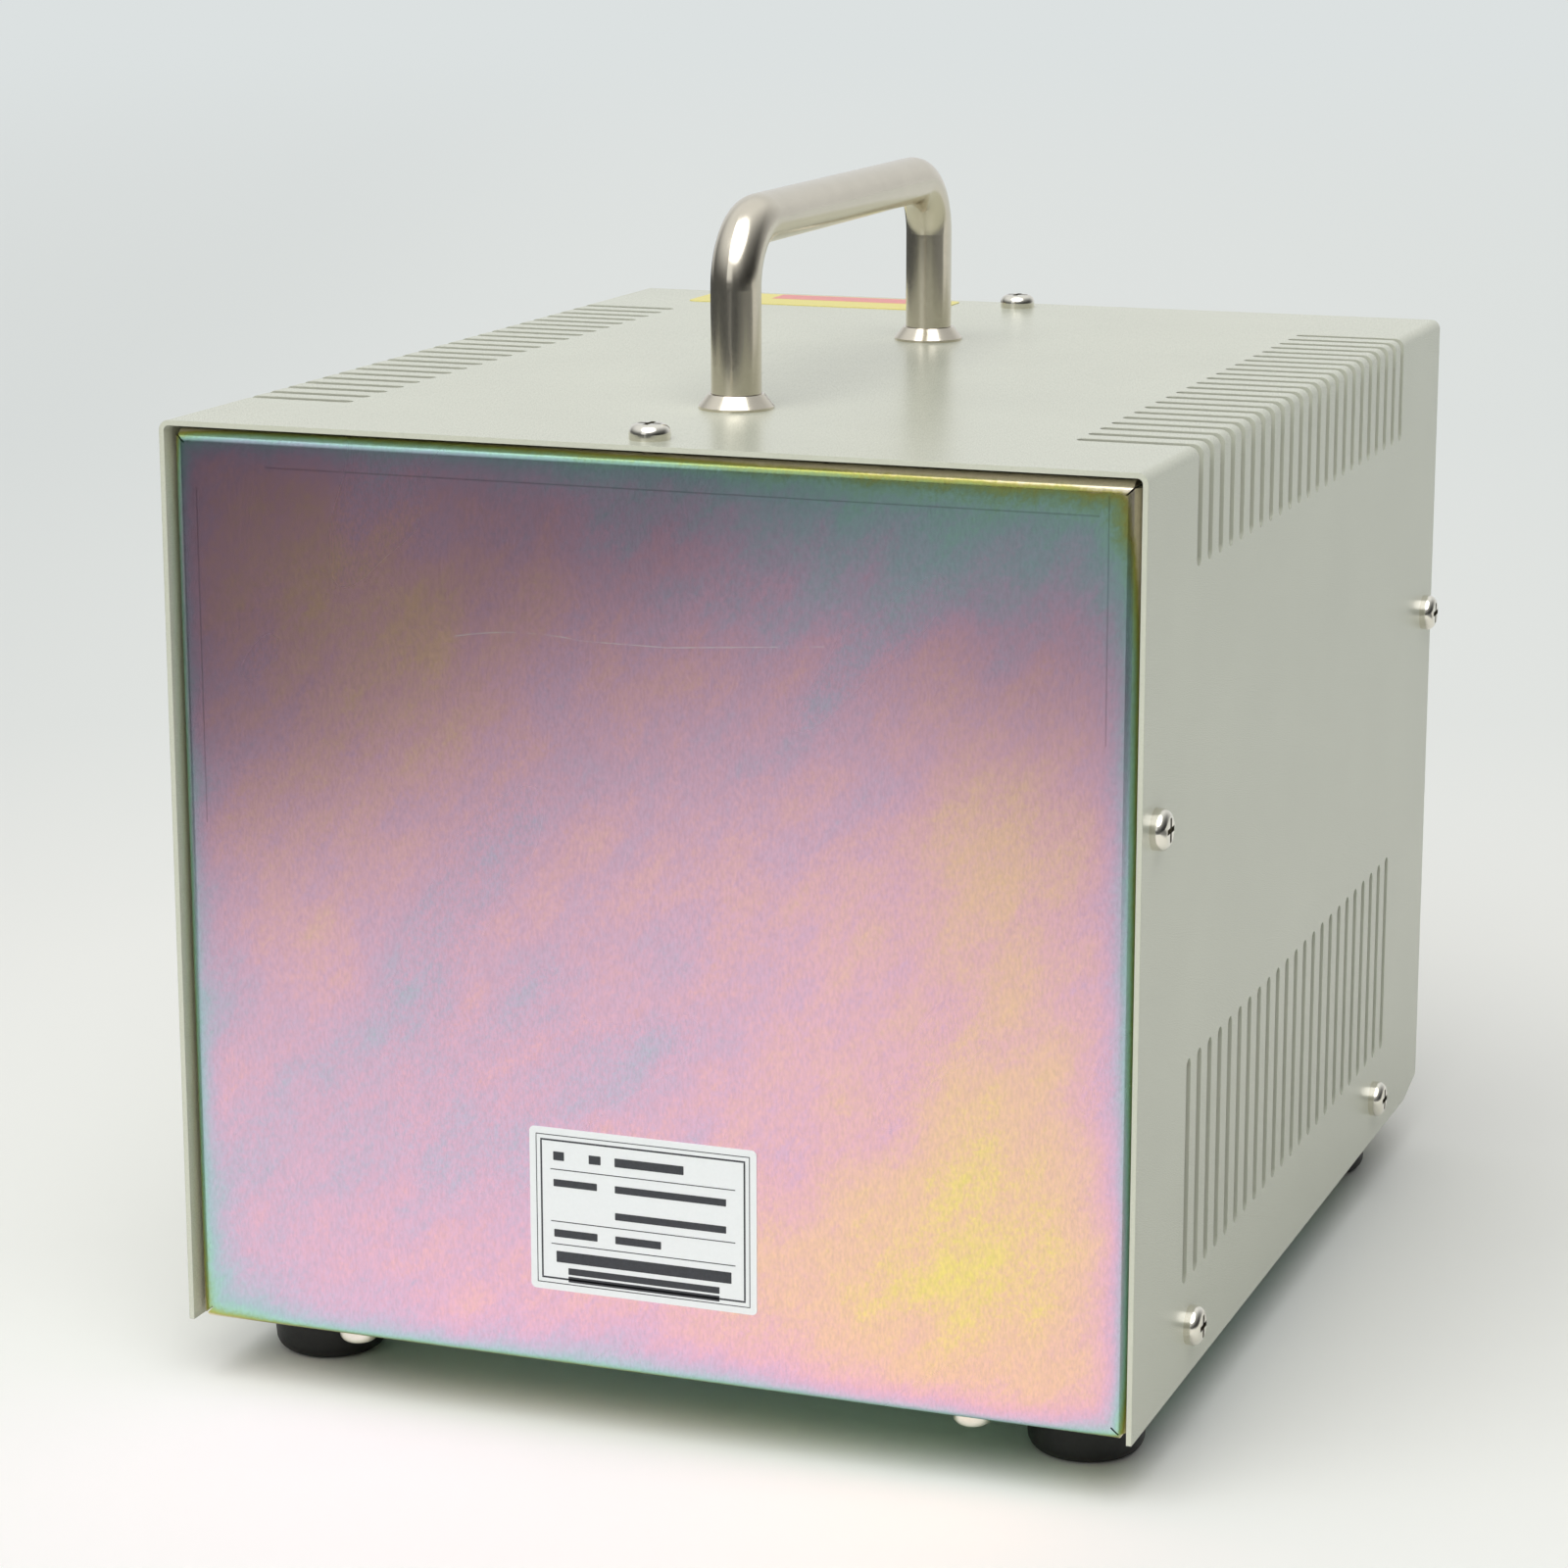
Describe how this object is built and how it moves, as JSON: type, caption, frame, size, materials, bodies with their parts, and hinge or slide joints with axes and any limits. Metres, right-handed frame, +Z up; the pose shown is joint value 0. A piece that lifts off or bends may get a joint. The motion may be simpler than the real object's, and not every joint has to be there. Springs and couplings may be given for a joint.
{
  "type": "step-down transformer",
  "caption": "Bench autotransformer in a vented painted steel case with a rod carry handle, rubber feet, mains inlet, outlets, rocker switch and reset button.",
  "frame": {"origin": "floor level under the middle of the whole outline", "axes": "+Z up, the control panel faces -Y, the plain metal rear panel faces +Y, +X to the right of someone facing the control panel"},
  "size_m": [0.1958, 0.241, 0.2278],
  "materials": {
    "cover_paint": "semi-gloss stoved warm grey",
    "panel_paint": "semi-gloss stoved warm grey",
    "passivate": "iridescent yellow zinc passivate",
    "passivate_base": "yellow zinc passivate",
    "nickel": "polished nickel plate",
    "screw_nickel": "bright nickel plate",
    "zinc": "dull zinc plate",
    "foot_rubber": "matt black",
    "lamination": "varnished silicon steel",
    "bobbin_plastic": "glass-filled nylon",
    "copper": "enamelled copper wire",
    "insulation": "varnished insulation tape",
    "black_plastic": "moulded black",
    "gloss_black": "moulded black",
    "ivory_plastic": "moulded ivory",
    "contact_brass": "bright brass",
    "blade_nickel": "nickel-plated brass",
    "rocker_red": "moulded red",
    "button_white": "moulded white",
    "lens_red": "tinted clear",
    "bulb_glass": "clear",
    "lead_yellow": "insulated wire",
    "lead_black": "insulated wire",
    "lead_white": "insulated wire",
    "lead_green": "insulated wire",
    "label_paper": "satin printed film",
    "sticker_film": "satin printed film"
  },
  "bodies": {
    "case": {"cover": "cover_paint", "rear_panel": "passivate", "front_panel": "panel_paint", "base_plate": "passivate_base", "carry_handle": "nickel", "handle_ferrules": "nickel", "handle_screws": "zinc", "handle_washers": "zinc", "cover_top_screws": "screw_nickel", "cover_side_screws": "screw_nickel", "base_screws": "screw_nickel", "flange_nuts": "zinc", "rubber_feet": "foot_rubber", "foot_screws": "zinc", "foot_washers": "zinc", "foot_nuts": "zinc", "core_e_laminations": "lamination", "core_i_laminations": "lamination", "bobbin": "bobbin_plastic", "common_winding": "copper", "layer_insulation": "insulation", "series_winding": "copper", "outer_wrap": "insulation", "thermal_cutout": "gloss_black", "core_brackets": "passivate_base", "core_bolts": "zinc", "core_washers": "zinc", "core_nuts": "zinc", "mounting_bolts": "zinc", "mounting_nuts": "zinc", "inlet_body": "black_plastic", "inlet_blades": "blade_nickel", "outlet_bodies": "ivory_plastic", "outlet_contacts": "contact_brass", "fixing_screws": "screw_nickel", "fixing_nuts": "zinc", "switch_housing": "gloss_black", "switch_tabs": "contact_brass", "protector_body": "black_plastic", "protector_nut": "screw_nickel", "protector_tabs": "contact_brass", "lamp_body": "screw_nickel", "lamp_lens": "lens_red", "lamp_bulb": "bulb_glass", "lamp_nut": "zinc", "lamp_tabs": "blade_nickel", "terminal_block": "black_plastic", "terminal_screws": "zinc", "block_fixing_screws": "zinc", "earth_stud": "contact_brass", "earth_nut": "contact_brass", "winding_leads": "lead_yellow", "input_leads": "lead_black", "output_leads": "lead_white", "earth_leads": "lead_green", "rating_label": "label_paper", "top_sticker": "sticker_film"},
    "rocker": {"switch_rocker": "rocker_red"},
    "button": {"reset_button": "button_white"}
  },
  "joints": [
    {"name": "switch_tilt", "type": "hinge", "parent": "case", "child": "rocker", "pos_m": [-0.05, -0.108, 0.1465], "axis": [1, 0, 0], "range_deg": [0, 24]},
    {"name": "reset_travel", "type": "slide", "parent": "case", "child": "button", "axis": [0, -1, 0], "range_m": [0, 0.0035]}
  ]
}
